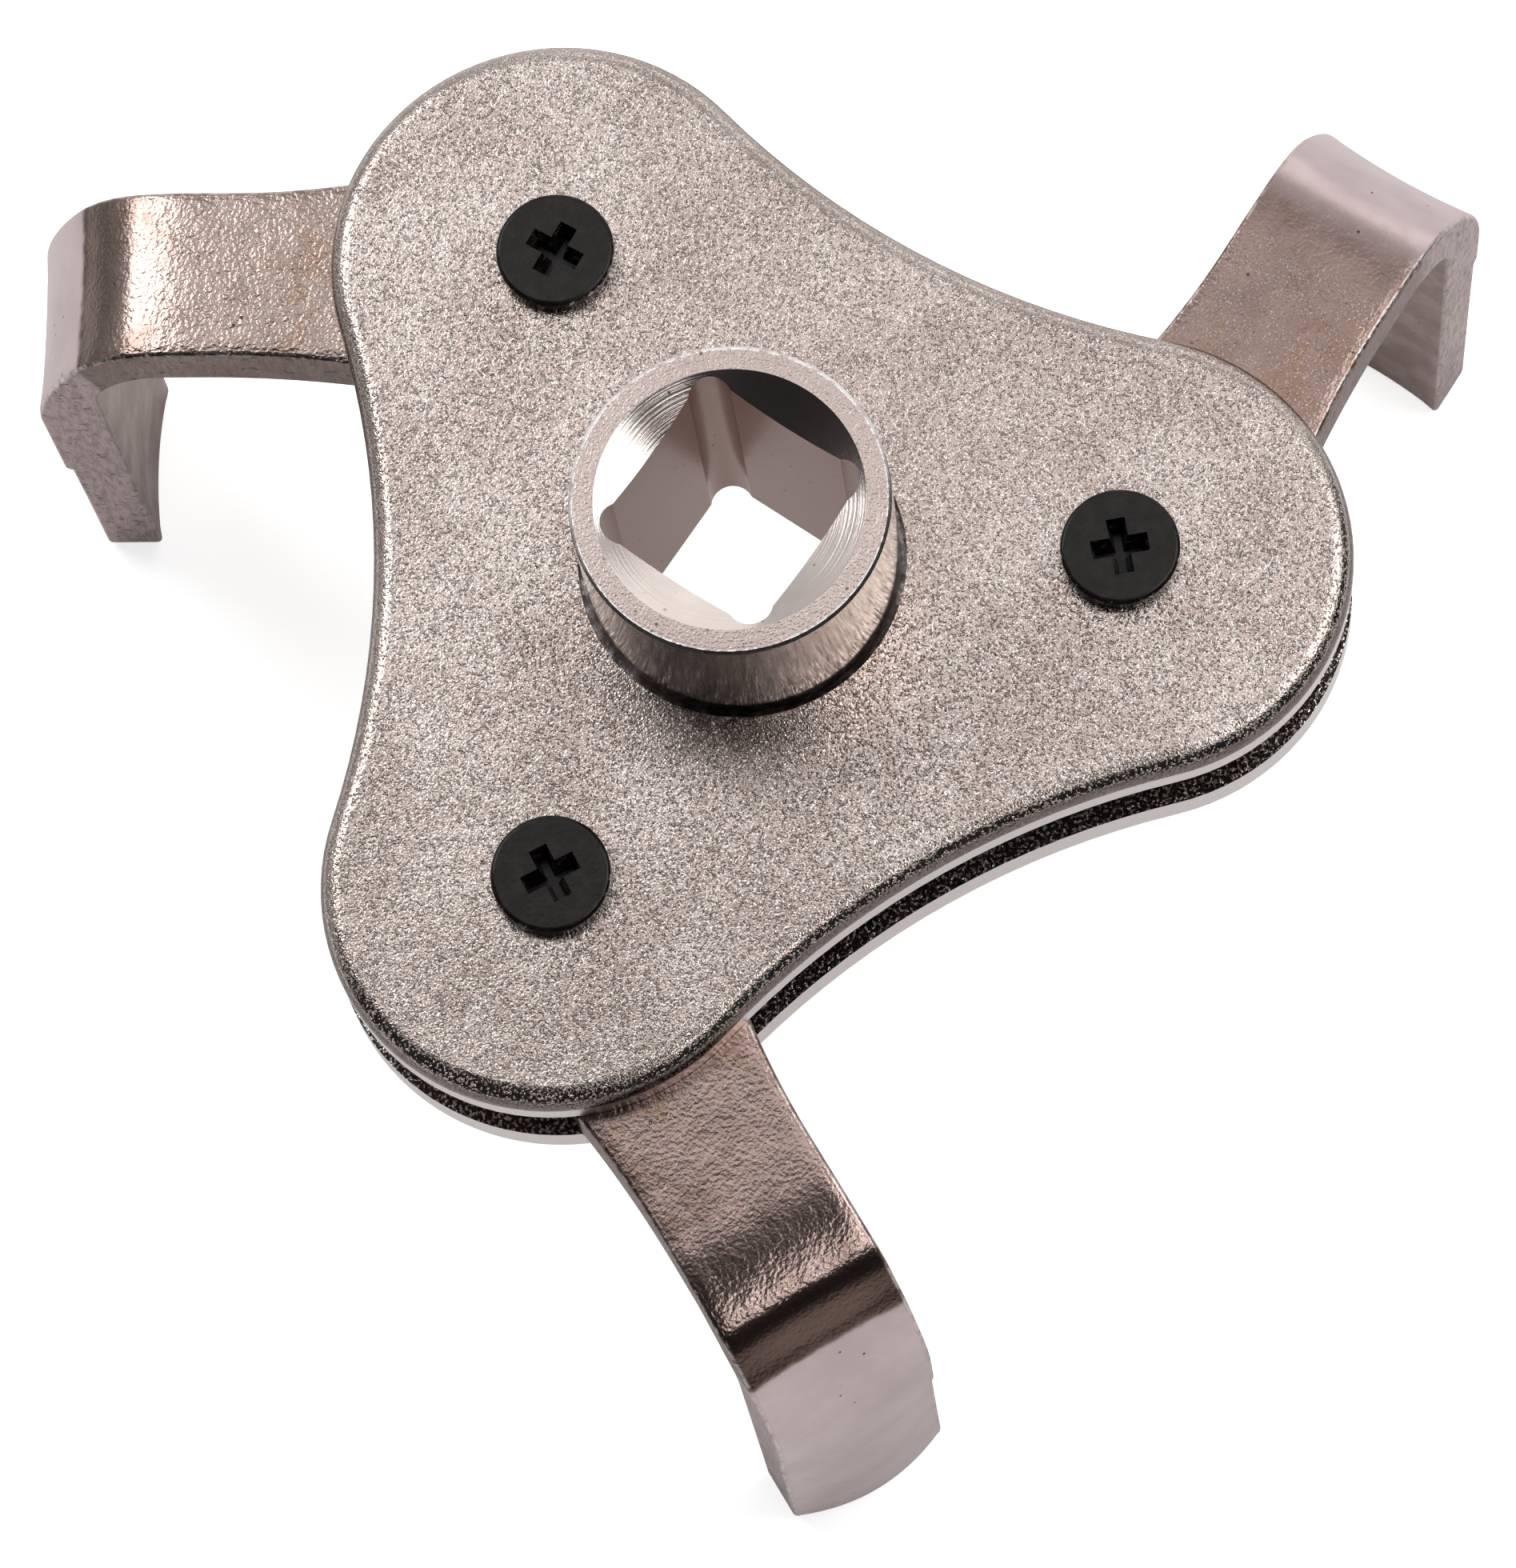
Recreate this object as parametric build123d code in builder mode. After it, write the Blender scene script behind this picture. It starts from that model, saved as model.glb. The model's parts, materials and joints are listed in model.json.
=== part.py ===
"""Three-jaw, two-way oil filter wrench.

Two stamped trefoil plates hold three hooked jaws on posts. A drive hub with a square
socket carries a sun gear between the plates, and the sun gear turns the toothed heads
of all three jaws together, so that their legs close on a filter from the outside.

Frame: millimetres, +Z up along the hub's axis. The origin is on that axis, in the plane
of the jaw tips that the wrench stands on. The three pivots lie at 60, 180 and 300 degrees.
"""
from build123d import *
from math import acos, cos, pi, radians, sin, tan
import os

# Stack, from the plane of the jaw tips upwards
plate_thickness = 3.15
plate_gap = 5.1
stack_bottom = 34.1
gap_bottom = stack_bottom + plate_thickness
gap_top = gap_bottom + plate_gap
stack_top = gap_top + plate_thickness
face_clearance = 0.1
running_clearance = 0.06

# Trefoil plates: round lobes about the pivots, joined by concave waists
pivot_count = 3
first_pivot = 60.0
pivot_radius = 25.5
lobe_radius = 15.7
waist_distance = 25.15
rolled_edge = 1.4
deburred_edge = 0.4
hub_window_radius = 11.15

# Drive hub with a nominal half-inch square socket
hub_radius = 10.7
hub_top = stack_top + 13.0
hub_bottom = stack_bottom + 1.2
hub_edge = 0.2
socket_across_flats = 12.84
socket_turn = -4.5
relief_radius = 1.48
relief_reach = 8.73
countersink_radius = 9.05
countersink_depth = 1.25
cone_rise = countersink_depth / (countersink_radius - socket_across_flats / 2)

# Gear train: the sun gear and the jaw heads have the same module
module = 1.5
sun_teeth = 18
jaw_teeth = 16
pressure_angle = radians(20)
addendum = 0.9 * module
dedendum = 1.2 * module
tooth_thinning = 0.09

# Jaws: flat bar, bent down to a leg at its end. Each stands at its own turn from its
# pivot's radius at rest, and their toothed heads are all in phase at the mesh turn.
rest_turns = [58.7, 60.3, 57.4]
mesh_turn = 58.8
jaw_bottom = gap_bottom + face_clearance
jaw_top = gap_top - face_clearance
jaw_thickness = jaw_top - jaw_bottom
arm_root_reach = 14.0
arm_root_half_width = 6.7
arm_waist_reach = 23.0
arm_waist_half_width = 6.0
leg_half_width = 6.1
leg_crown_reach = 38.5
leg_shoulder_reach = 37.8
leg_edge_reach = 37.3
leg_inner_reach = 33.2
leg_hollow = 0.5
leg_straight_top = jaw_top - 14.5
bend_start = 25.5
easy_bend_radius = 22.0
easy_bend_slope = 16.0
tight_bend_radius = 5.0
bend_slope = 42.0
crease_reaches = [34.0, 35.9, 34.0]
crease_round = 1.0
bend_inner_radius = 5.0
relieved_lengths = [17.2, 21.3, 22.5]
tip_round = 0.8

# Pivot posts, riveted to the lower plate, and their screws
post_radius = 4.0
spigot_radius = 3.2
spigot_clearance = 0.05
rivet_radius = 4.8
rivet_height = 1.3
thread_radius = 2.45
thread_hole_radius = 2.5
thread_hole_bottom = gap_bottom - 1.5
screw_end = gap_bottom - 0.5
screw_clearance_radius = 2.65
screw_head_radius = 4.05
screw_head_height = 1.3
screw_head_round = 0.3
recess_span = 3.9
recess_slot = 1.3
recess_depth = 2.2
recess_taper = 10.0

pivot_angles = [first_pivot + 360.0 / pivot_count * i for i in range(pivot_count)]
recess_turns = [0.0, 57.0, 39.0]


def polar(radius, degrees):
    """The point at this radius and angle about the local origin."""
    return (radius * cos(radians(degrees)), radius * sin(radians(degrees)))


def involute(angle):
    """Involute function of an angle in radians."""
    return tan(angle) - angle


def trefoil():
    """Draw the plates' outline: three lobes, joined by tangent concave waists."""
    waist_arm = waist_distance - lobe_radius
    half_spread = pivot_radius * cos(pi / pivot_count)
    centre_distance = (pivot_radius**2 - waist_arm**2) / (2 * (half_spread - waist_arm))
    with BuildLine() as outline:
        for angle in pivot_angles:
            pivot = Vector(*polar(pivot_radius, angle))
            before = Vector(*polar(centre_distance, angle - 60))
            after = Vector(*polar(centre_distance, angle + 60))
            next_pivot = Vector(*polar(pivot_radius, angle + 120))
            lobe_start = pivot + (before - pivot).normalized() * lobe_radius
            lobe_end = pivot + (after - pivot).normalized() * lobe_radius
            next_start = next_pivot + (after - next_pivot).normalized() * lobe_radius
            ThreePointArc(lobe_start, polar(pivot_radius + lobe_radius, angle), lobe_end)
            ThreePointArc(lobe_end, polar(waist_distance, angle + 60), next_start)
    make_face(outline.edges())


def gear(teeth, first_tooth):
    """Draw an external involute gear, its first tooth centred at this angle in degrees."""
    pitch_radius = teeth * module / 2
    base_radius = pitch_radius * cos(pressure_angle)
    tip_radius = pitch_radius + addendum
    root_radius = pitch_radius - dedendum
    pitch_step = 360 / teeth
    half_tooth = pi / 2 / teeth - tooth_thinning / 2 / pitch_radius

    def half_angle(radius):
        rolled = involute(acos(base_radius / radius))
        return (half_tooth + involute(pressure_angle) - rolled) * 180 / pi

    flank_radii = (base_radius, (base_radius + tip_radius) / 2, tip_radius)
    base_half = half_angle(base_radius)
    with BuildLine() as outline:
        for i in range(teeth):
            middle = first_tooth + i * pitch_step
            rising = [polar(r, middle - half_angle(r)) for r in flank_radii]
            falling = [polar(r, middle + half_angle(r)) for r in reversed(flank_radii)]
            root_start = polar(root_radius, middle - base_half)
            root_end = polar(root_radius, middle + base_half)
            next_root = polar(root_radius, middle + pitch_step - base_half)
            Line(root_start, rising[0])
            ThreePointArc(*rising)
            ThreePointArc(rising[-1], polar(tip_radius, middle), falling[0])
            ThreePointArc(*falling)
            Line(falling[-1], root_end)
            ThreePointArc(root_end, polar(root_radius, middle + pitch_step / 2), next_root)
    make_face(outline.edges())


def arm_side(side):
    """Draw the strip beside an arm that its drawn-in edge leaves, on the +1 or -1 side."""
    root = (arm_root_reach, side * arm_root_half_width)
    waist = (arm_waist_reach, side * arm_waist_half_width)
    bend = (leg_inner_reach, side * leg_half_width)
    spare = side * (arm_root_half_width + 1)
    with BuildLine() as outline:
        ThreePointArc(root, waist, bend)
        Polyline(bend, (leg_crown_reach + 1, bend[1]), (leg_crown_reach + 1, spare), (root[0], spare), root)
    make_face(outline.edges())


def outside_crown(edge_reach):
    """Draw what lies outside a leg's crowned face, whose side edges are at edge_reach."""
    edge = arm_root_half_width
    with BuildLine() as outline:
        ThreePointArc((edge_reach, -edge), (leg_crown_reach, 0), (edge_reach, edge))
        Polyline(
            (edge_reach, edge),
            (leg_crown_reach + 1, edge),
            (leg_crown_reach + 1, -edge),
            (edge_reach, -edge),
        )
    make_face(outline.edges())


os.makedirs("parts", exist_ok=True)

# Top plate: its upper edge is rolled over by the press, and it shows the screws
with BuildPart() as top_plate:
    with BuildSketch(Plane.XY.offset(gap_top)):
        trefoil()
        Circle(hub_window_radius, mode=Mode.SUBTRACT)
        with PolarLocations(pivot_radius, pivot_count, first_pivot):
            Circle(screw_clearance_radius, mode=Mode.SUBTRACT)
    extrude(amount=plate_thickness)
    fillet(top_plate.faces().sort_by(Axis.Z)[-1].outer_wire().edges(), rolled_edge)
top_plate.part.label = "top_plate"
export_step(top_plate.part, "parts/top_plate.step")

# Bottom plate: the same outline, with the hub's lower bearing and holes for the spigots
with BuildPart() as bottom_plate:
    with BuildSketch(Plane.XY.offset(stack_bottom)):
        trefoil()
        Circle(hub_radius + running_clearance, mode=Mode.SUBTRACT)
        with PolarLocations(pivot_radius, pivot_count, first_pivot):
            Circle(spigot_radius + spigot_clearance, mode=Mode.SUBTRACT)
    extrude(amount=plate_thickness)
    fillet(bottom_plate.faces().sort_by(Axis.Z)[0].outer_wire().edges(), deburred_edge)
bottom_plate.part.label = "bottom_plate"
export_step(bottom_plate.part, "parts/bottom_plate.step")

# Drive hub: socket, lower journal and sun gear in one piece. A sun tooth faces a gap of
# each jaw's head at rest.
jaw_step = 360 / jaw_teeth
sun_step = 360 / sun_teeth
sun_first_tooth = first_pivot - (0.5 - (180 - mesh_turn) / jaw_step) * sun_step
flat_half = socket_across_flats / 2
relief_centre = relief_reach - relief_radius
flat_span = 2 * relief_centre * cos(pi / 4)
with BuildPart() as drive_hub:
    with BuildSketch(Plane.XY.offset(hub_bottom)):
        Circle(hub_radius)
    extrude(amount=hub_top - hub_bottom)
    chamfer(drive_hub.edges().filter_by(GeomType.CIRCLE), hub_edge)
    with BuildSketch(Plane.XY.offset(jaw_bottom)):
        gear(sun_teeth, sun_first_tooth)
    extrude(amount=jaw_thickness)
    with BuildSketch(Plane.XY.offset(hub_bottom)):
        Rectangle(socket_across_flats, flat_span, rotation=socket_turn)
        Rectangle(flat_span, socket_across_flats, rotation=socket_turn)
        with PolarLocations(relief_centre, 4, socket_turn + 45):
            Circle(relief_radius)
    extrude(amount=hub_top - hub_bottom, mode=Mode.SUBTRACT)
    with BuildSketch(Plane.XZ):
        Polygon(
            (0, hub_top),
            (countersink_radius, hub_top),
            (0, hub_top - countersink_radius * cone_rise),
            align=None,
        )
    revolve(axis=Axis.Z, mode=Mode.SUBTRACT)
drive_hub.part.label = "drive_hub"
export_step(drive_hub.part, "parts/drive_hub.step")

# Jaws, each drawn along its own arm from its pivot: x runs along the arm
hollow_radius = leg_half_width**2 / 2 / leg_hollow
hollow_centre = leg_inner_reach + leg_hollow - hollow_radius
hollow_height = jaw_bottom - bend_inner_radius - 1
hollow_tilt = leg_hollow / hollow_height * 180 / pi
easy_bend_end = (
    bend_start + easy_bend_radius * sin(radians(easy_bend_slope)),
    jaw_top - easy_bend_radius * (1 - cos(radians(easy_bend_slope))),
)
slope_start = (
    easy_bend_end[0]
    + tight_bend_radius * (sin(radians(bend_slope)) - sin(radians(easy_bend_slope))),
    easy_bend_end[1]
    - tight_bend_radius * (cos(radians(easy_bend_slope)) - cos(radians(bend_slope))),
)
for number, (pivot_angle, rest_turn) in enumerate(zip(pivot_angles, rest_turns), 1):
    relieved_length = relieved_lengths[number - 1]
    crease_reach = crease_reaches[number - 1]
    crease_height = slope_start[1] - (crease_reach - slope_start[0]) * tan(radians(bend_slope))
    pivot = polar(pivot_radius, pivot_angle)
    along = polar(1, pivot_angle + rest_turn)
    plan = Plane(origin=(*pivot, 0), x_dir=(*along, 0), z_dir=(0, 0, 1))
    side = Plane(origin=(*pivot, 0), x_dir=(*along, 0), z_dir=(along[1], -along[0], 0))
    with BuildPart() as jaw:
        # The bent bar, drawn from its side, wide enough for the arm's root
        with BuildSketch(side):
            with BuildLine():
                Line((0, jaw_top), (bend_start, jaw_top))
                TangentArc((bend_start, jaw_top), easy_bend_end, tangent=(1, 0))
                TangentArc(
                    easy_bend_end,
                    slope_start,
                    tangent=polar(1, -easy_bend_slope),
                )
                Line(slope_start, (crease_reach, crease_height))
                TangentArc(
                    (leg_crown_reach, leg_straight_top),
                    (crease_reach, crease_height),
                    tangent=(0, 1),
                )
                Polyline(
                    (leg_crown_reach, leg_straight_top),
                    (leg_crown_reach, 0),
                    (leg_inner_reach, 0),
                )
                FilletPolyline(
                    (leg_inner_reach, 0),
                    (leg_inner_reach, jaw_bottom),
                    (0, jaw_bottom),
                    radius=bend_inner_radius,
                )
                Line((0, jaw_bottom), (0, jaw_top))
            make_face()
        extrude(amount=arm_root_half_width, both=True)
        crease_point = plan.from_local_coords((crease_reach, 0, crease_height))
        fillet(jaw.edges().sort_by_distance(crease_point)[0], crease_round)
        # Its sides draw in towards the middle of the arm
        with BuildSketch(plan):
            arm_side(1)
            arm_side(-1)
        extrude(amount=jaw_top, mode=Mode.SUBTRACT)
        # The leg's outer face is crowned, and its lower length is relieved further
        with BuildSketch(plan):
            outside_crown(leg_shoulder_reach)
        extrude(amount=jaw_top, mode=Mode.SUBTRACT)
        with BuildSketch(plan):
            outside_crown(leg_edge_reach)
        extrude(amount=relieved_length, mode=Mode.SUBTRACT)
        # Its inner face is slightly hollow across its width, fading out below the bend
        with Locations(plan.location * Location((hollow_centre, 0, 0), (0, -hollow_tilt, 0))):
            Cylinder(hollow_radius, 2 * hollow_height, rotation=(0, 0, 180), mode=Mode.SUBTRACT)
        # The tip is rounded over across its width, inside and out
        tip_edges = jaw.faces().sort_by(Axis.Z)[0].edges()
        fillet(tip_edges.sort_by(SortBy.LENGTH)[-2:], tip_round)
        # The toothed head and its bore
        with BuildSketch(plan.offset(jaw_bottom)):
            gear(jaw_teeth, mesh_turn - rest_turn)
        extrude(amount=jaw_thickness)
        with BuildSketch(plan.offset(jaw_bottom)):
            Circle(post_radius + running_clearance)
        extrude(amount=jaw_thickness, mode=Mode.SUBTRACT)
    jaw.part.label = f"jaw_{number}"
    export_step(jaw.part, f"parts/jaw_{number}.step")

# Pivot posts: a barrel that spaces the plates, and a spigot riveted under the lower one
# The screws clamp the top plate onto the posts
for number, pivot_angle in enumerate(pivot_angles, 1):
    pivot = polar(pivot_radius, pivot_angle)
    axis_plane = Plane(origin=(*pivot, 0), x_dir=(1, 0, 0), z_dir=(0, -1, 0))
    axis_line = Axis((*pivot, 0), (0, 0, 1))
    with BuildPart() as post:
        with BuildSketch(axis_plane):
            with BuildLine():
                ThreePointArc(
                    (0, stack_bottom - rivet_height),
                    (rivet_radius * 0.62, stack_bottom - rivet_height * 0.72),
                    (rivet_radius, stack_bottom),
                )
                Polyline(
                    (rivet_radius, stack_bottom),
                    (spigot_radius, stack_bottom),
                    (spigot_radius, gap_bottom),
                    (post_radius, gap_bottom),
                    (post_radius, gap_top),
                    (thread_hole_radius, gap_top),
                    (thread_hole_radius, thread_hole_bottom),
                    (0, thread_hole_bottom),
                    (0, stack_bottom - rivet_height),
                )
            make_face()
        revolve(axis=axis_line)
    post.part.label = f"pivot_post_{number}"
    export_step(post.part, f"parts/pivot_post_{number}.step")

    with BuildPart() as screw:
        with BuildSketch(Plane(origin=(*pivot, screw_end))):
            Circle(thread_radius)
        extrude(amount=stack_top - screw_end)
        with BuildSketch(Plane(origin=(*pivot, stack_top))):
            Circle(screw_head_radius)
        extrude(amount=screw_head_height)
        fillet(screw.edges().filter_by(GeomType.CIRCLE).sort_by(Axis.Z)[-1], screw_head_round)
        with BuildSketch(Plane(origin=(*pivot, stack_top + screw_head_height))):
            turn = recess_turns[number - 1]
            Rectangle(recess_span, recess_slot, rotation=turn)
            Rectangle(recess_slot, recess_span, rotation=turn)
        extrude(amount=-recess_depth, taper=recess_taper, mode=Mode.SUBTRACT)
    screw.part.label = f"pivot_screw_{number}"
    export_step(screw.part, f"parts/pivot_screw_{number}.step")
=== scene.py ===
import json
import math

import bmesh
import bpy
from mathutils import Matrix, Vector, noise

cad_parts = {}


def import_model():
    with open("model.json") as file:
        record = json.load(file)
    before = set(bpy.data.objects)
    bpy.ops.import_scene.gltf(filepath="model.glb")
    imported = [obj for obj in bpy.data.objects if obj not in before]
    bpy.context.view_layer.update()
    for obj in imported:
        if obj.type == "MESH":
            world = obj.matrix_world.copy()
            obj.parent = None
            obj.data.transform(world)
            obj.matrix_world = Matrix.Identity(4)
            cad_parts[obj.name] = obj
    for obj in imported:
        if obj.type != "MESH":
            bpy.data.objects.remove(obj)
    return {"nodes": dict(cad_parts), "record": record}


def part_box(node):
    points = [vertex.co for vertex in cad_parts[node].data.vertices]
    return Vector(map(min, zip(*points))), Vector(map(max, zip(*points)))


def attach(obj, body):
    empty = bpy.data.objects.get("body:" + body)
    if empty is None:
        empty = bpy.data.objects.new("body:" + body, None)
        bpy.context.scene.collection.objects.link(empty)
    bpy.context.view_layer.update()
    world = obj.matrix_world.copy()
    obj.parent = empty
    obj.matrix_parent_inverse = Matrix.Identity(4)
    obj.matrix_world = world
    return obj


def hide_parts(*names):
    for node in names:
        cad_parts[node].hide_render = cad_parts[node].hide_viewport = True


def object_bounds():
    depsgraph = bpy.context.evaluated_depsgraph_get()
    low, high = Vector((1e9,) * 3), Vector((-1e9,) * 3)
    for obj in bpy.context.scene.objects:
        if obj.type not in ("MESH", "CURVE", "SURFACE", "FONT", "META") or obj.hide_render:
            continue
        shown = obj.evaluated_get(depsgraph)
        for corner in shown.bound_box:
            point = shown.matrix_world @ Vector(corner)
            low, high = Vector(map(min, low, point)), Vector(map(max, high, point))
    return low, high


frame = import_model()
cad_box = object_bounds()
nodes = frame["nodes"]

MM = 0.001
UP = Vector((0, 0, 1))


# ---------------------------------------------------------------- material helpers
class Graph:
    """A material's node tree, with short ways to add and join nodes."""

    def __init__(self, name):
        self.material = bpy.data.materials.new(name)
        self.material.use_nodes = True
        self.tree = self.material.node_tree
        self.tree.nodes.clear()
        self.output = self.tree.nodes.new("ShaderNodeOutputMaterial")
        self.shader = self.tree.nodes.new("ShaderNodeBsdfPrincipled")
        self.tree.links.new(self.shader.outputs[0], self.output.inputs["Surface"])

    def node(self, kind, inputs=None, **settings):
        made = self.tree.nodes.new("ShaderNode" + kind)
        for key, value in settings.items():
            setattr(made, key, value)
        for key, value in (inputs or {}).items():
            self.put(value, made.inputs[key])
        return made

    def put(self, value, socket):
        """Join value to the socket if it is a socket itself, or else set it there."""
        if isinstance(value, bpy.types.NodeSocket):
            self.tree.links.new(value, socket)
        else:
            socket.default_value = value

    def set(self, **inputs):
        """Fill in the shader's inputs, with underscores in place of spaces in their names."""
        for key, value in inputs.items():
            self.put(value, self.shader.inputs[key.replace("_", " ")])

    def place(self):
        return self.node("TexCoord").outputs["Object"]

    def split(self, vector):
        """The x, y and z sockets of this vector."""
        return self.node("SeparateXYZ", {"Vector": vector}).outputs

    def join(self, x, y, z):
        return self.node("CombineXYZ", {"X": x, "Y": y, "Z": z}).outputs["Vector"]

    def stretched(self, scale):
        """Object coordinates, multiplied by this scale along each axis."""
        made = self.node("VectorMath", operation="MULTIPLY")
        self.put(self.place(), made.inputs[0])
        made.inputs[1].default_value = scale
        return made.outputs["Vector"]

    def noise(self, scale, detail=2.0, roughness=0.5, vector=None):
        """Cloudy noise with this many features to the metre."""
        inputs = {"Vector": vector or self.place(), "Scale": scale, "Detail": detail}
        return self.node("TexNoise", inputs | {"Roughness": roughness}).outputs["Fac"]

    def cells(self, scale):
        """Distance to the nearest of many scattered points."""
        inputs = {"Vector": self.place(), "Scale": scale}
        return self.node("TexVoronoi", inputs).outputs["Distance"]

    def ramp(self, factor, low, high, start=0.0, end=1.0):
        """A smooth step from start to end as factor goes from low to high."""
        made = self.node("MapRange", {"Value": factor}, interpolation_type="SMOOTHSTEP")
        for key, value in (("From Min", low), ("From Max", high), ("To Min", start), ("To Max", end)):
            made.inputs[key].default_value = value
        return made.outputs["Result"]

    def math(self, operation, a, b=0.0):
        made = self.node("Math", operation=operation)
        self.put(a, made.inputs[0])
        self.put(b, made.inputs[1])
        return made.outputs[0]

    def times(self, *factors):
        product = factors[0]
        for factor in factors[1:]:
            product = self.math("MULTIPLY", product, factor)
        return product

    def without(self, factor):
        """What factor leaves of one."""
        return self.math("SUBTRACT", 1.0, factor)

    def mix(self, factor, a, b):
        """The colour a where factor is 0 and b where it is 1."""
        made = self.node("Mix", data_type="RGBA")
        self.put(factor, made.inputs["Factor"])
        for value, socket in ((a, made.inputs[6]), (b, made.inputs[7])):
            self.put((*value, 1.0) if isinstance(value, tuple) else value, socket)
        return made.outputs[2]

    def blend(self, factor, a, b):
        """The number a where factor is 0 and b where it is 1."""
        made = self.node("Mix", data_type="FLOAT")
        self.put(factor, made.inputs[0])
        self.put(a, made.inputs[2])
        self.put(b, made.inputs[3])
        return made.outputs[0]

    def bump(self, height, distance, normal=None):
        made = self.node("Bump", {"Height": height, "Distance": distance})
        if normal is not None:
            self.put(normal, made.inputs["Normal"])
        return made.outputs["Normal"]

    def radius(self):
        """Distance from the hub's axis."""
        x, y, _ = self.split(self.place())
        flat = self.node("VectorMath", {"Vector": self.join(x, y, 0.0)}, operation="LENGTH")
        return flat.outputs["Value"]

    def carried(self, name):
        """A number that the mesh carries at each vertex."""
        return self.node("Attribute", attribute_name=name).outputs["Fac"]


# How far above the upper plate's underside its smooth cut lip ends, and how fast it fades there
LIP_TOP = 1.80 * MM
LIP_FADE = 0.20 * MM
# How far above the lower plate's face the painted shade in the gap reaches, and where it starts to thin
GAP_SHADE_TOP = 1.0 * MM
GAP_SHADE_FULL = 0.5 * MM


def plate_material():
    """Satin nickel over pebbled stamped steel.

    Under each rolled edge is a smoother cut lip. The lower plate's face in the gap is painted dark as
    shade, with painted glints, and the rolled edges carry painted shade.
    """
    g = Graph("plate_plating")
    lip_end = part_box("top_plate")[0].z + LIP_TOP
    gap_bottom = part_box("bottom_plate")[1].z
    height = g.split(g.place())[2]
    facing = g.split(g.node("NewGeometry").outputs["Normal"])[2]
    levelness = g.math("ABSOLUTE", facing)
    lip = g.times(g.ramp(levelness, 0.35, 0.15), g.ramp(height, lip_end, lip_end - LIP_FADE))
    plain = g.without(lip)
    roll = g.times(g.ramp(levelness, 0.66, 0.52), plain)
    in_gap = g.ramp(height, gap_bottom + GAP_SHADE_TOP, gap_bottom + GAP_SHADE_FULL)
    gap_floor = g.times(in_gap, g.ramp(facing, 0.5, 0.9))

    # The plating's own colour, with dull specks and a few fine scratches, and bright specks painted on
    # as glints
    broad = g.ramp(g.noise(110, 3.0, 0.55), 0.36, 0.66)
    tone = g.mix(broad, (0.455, 0.373, 0.333), (0.565, 0.48, 0.436))
    dull = g.ramp(g.noise(6800, 1.0), 0.34, 0.44, 1.0, 0.0)
    tone = g.mix(g.times(dull, 0.3), tone, (0.30, 0.22, 0.19))
    painted_sparkle = g.ramp(g.noise(6300, 1.0), 0.58, 0.66)
    tone = g.mix(g.times(painted_sparkle, 0.6), tone, (0.97, 0.95, 0.93))
    scratch = g.ramp(g.noise(420, 2.0, 0.5, g.stretched((1.0, 7.0, 1.0))), 0.66, 0.70)
    tone = g.mix(g.times(scratch, 0.4), tone, (0.85, 0.80, 0.77))

    # Painted shade with painted glints in the gap, painted shade on the rolled edge, and the pale lip
    glint = g.ramp(g.noise(3600, 1.0), 0.53, 0.58)
    tone = g.mix(g.times(gap_floor, 0.9), tone, (0.035, 0.025, 0.024))
    tone = g.mix(g.times(gap_floor, glint), tone, (0.95, 0.92, 0.90))
    # Painted shade: the rolled edge's steep part darkened towards black
    tone = g.mix(g.times(roll, 0.75), tone, (0.10, 0.07, 0.065))
    tone = g.mix(lip, tone, (0.86, 0.79, 0.78))

    grit = g.ramp(g.noise(5000, 1.5), 0.54, 0.72)
    tears = g.noise(1400, 3.0, 0.6, g.stretched((1.0, 1.0, 0.12)))
    normal = g.bump(g.times(g.noise(7000, 1.0), plain), 0.00003)
    normal = g.bump(g.times(grit, plain), 0.00006, normal)
    normal = g.bump(g.noise(900, 2.0), 0.00003, normal)
    normal = g.bump(g.times(tears, lip), 0.00006, normal)
    rough = g.blend(lip, g.ramp(g.noise(700, 2.0), 0.3, 0.7, 0.14, 0.22), 0.34)
    g.set(Base_Color=tone, Metallic=1.0, Roughness=rough, Normal=normal)
    return g.material


# Along a jaw in millimetres: where the stain at its root is full and where it ends, how far before the
# leg's smooth finish the painted shade band starts and is full, and how far before and past the finish's
# start the painted shade line reaches
ROOT_STAIN_FULL = 15.0
ROOT_STAIN_END = 27.0
SHADE_BAND_START = 5.2
SHADE_BAND_FULL = 3.2
SHADE_LINE_BEFORE = 1.2
SHADE_LINE_PAST = 0.5
# How high the leg's fine and coarse orange peel stand, and how high the arm's coarse peel stands
# next to its fine one
LEG_PEEL = 0.000006
LEG_COARSE_PEEL = 0.000004
COARSE_PEEL_SHARE = 0.7


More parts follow.
